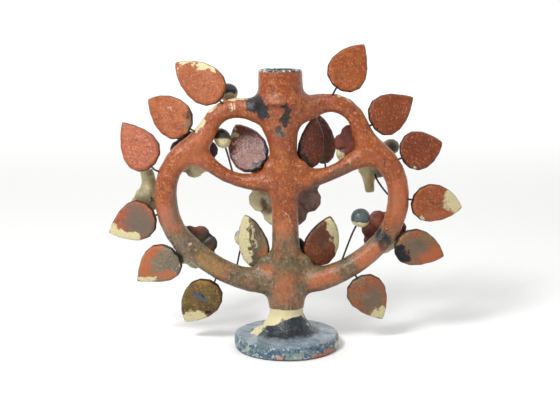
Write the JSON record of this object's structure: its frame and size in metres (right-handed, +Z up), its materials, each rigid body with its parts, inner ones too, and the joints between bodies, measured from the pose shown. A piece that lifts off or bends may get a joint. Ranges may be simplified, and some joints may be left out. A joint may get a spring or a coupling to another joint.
{
  "type": "clay tree of life candle holder",
  "caption": "Hand-built clay tree of life that holds a candle: foot, trunk and ringed arms hung with wired leaves, buds, flowers and birds.",
  "frame": {"origin": "centre of the foot's underside, on the surface that the tree stands on", "axes": "+Z up to the candle, +X along the tree's width, +Y towards the decorated front; the plain back faces -Y"},
  "size_m": [0.3125, 0.092, 0.2632],
  "materials": {
    "glossy_terracotta": "hand-smoothed terracotta under a worn shellac gloss, with cream slip and black patches",
    "smoked_clay": "fire-smoked clay that runs from olive grey to terracotta",
    "slate_blue_paint": "slate-blue paint over terracotta, chipped at the edge, cream round the neck",
    "leaf_terracotta": "hand-pressed terracotta leaves with dark painted edges and cream chips",
    "bud_glaze": "dark navy cap over a cream underside",
    "painted_petals": "pressed petals in brick red, cream and smoked brown",
    "cream_slip": "cream slip with ochre stains",
    "iron_wire": "annealed iron wire, dark and slightly rough"
  },
  "bodies": {
    "root": {"flower_trunk_upper": "painted_petals", "flower_trunk_lower": "painted_petals", "flower_left_lower": "painted_petals", "flower_right_lower": "painted_petals", "flower_right_upper": "painted_petals", "flower_left_upper": "painted_petals", "leaf_left_1": "leaf_terracotta", "wire_leaf_left_1": "iron_wire", "leaf_left_2": "leaf_terracotta", "wire_leaf_left_2": "iron_wire", "leaf_left_3": "leaf_terracotta", "wire_leaf_left_3": "iron_wire", "leaf_left_4": "leaf_terracotta", "wire_leaf_left_4": "iron_wire", "leaf_left_5": "leaf_terracotta", "wire_leaf_left_5": "iron_wire", "leaf_left_6": "leaf_terracotta", "wire_leaf_left_6": "iron_wire", "leaf_right_1": "leaf_terracotta", "wire_leaf_right_1": "iron_wire", "leaf_right_2": "leaf_terracotta", "wire_leaf_right_2": "iron_wire", "leaf_right_3": "leaf_terracotta", "wire_leaf_right_3": "iron_wire", "leaf_right_4": "leaf_terracotta", "wire_leaf_right_4": "iron_wire", "leaf_right_5": "leaf_terracotta", "wire_leaf_right_5": "iron_wire", "leaf_right_6": "leaf_terracotta", "wire_leaf_right_6": "iron_wire", "leaf_inner_left_upper": "leaf_terracotta", "wire_leaf_inner_left_upper": "iron_wire", "leaf_inner_right_upper": "leaf_terracotta", "leaf_inner_right_back": "leaf_terracotta", "wire_leaf_inner_right_upper": "iron_wire", "leaf_inner_left_lower": "leaf_terracotta", "wire_leaf_inner_left_lower": "iron_wire", "leaf_inner_right_lower": "leaf_terracotta", "wire_leaf_inner_right_lower": "iron_wire", "wire_flower_trunk_upper": "iron_wire", "wire_flower_trunk_lower": "iron_wire", "bud_left_eye": "bud_glaze", "wire_bud_left_eye": "iron_wire", "bud_left_top": "bud_glaze", "wire_bud_left_top": "iron_wire", "bud_left_lower": "bud_glaze", "wire_bud_left_lower": "iron_wire", "bud_right_lower": "bud_glaze", "wire_bud_right_lower": "iron_wire", "wire_bird_left": "iron_wire", "bird_left": "cream_slip", "wire_bird_right": "iron_wire", "bird_right": "cream_slip", "foot": "slate_blue_paint", "trunk": "smoked_clay", "candle_cup": "glossy_terracotta", "ring_left": "glossy_terracotta", "ring_right": "glossy_terracotta", "eye_limb_left": "glossy_terracotta", "eye_limb_right": "glossy_terracotta"}
  },
  "joints": []
}
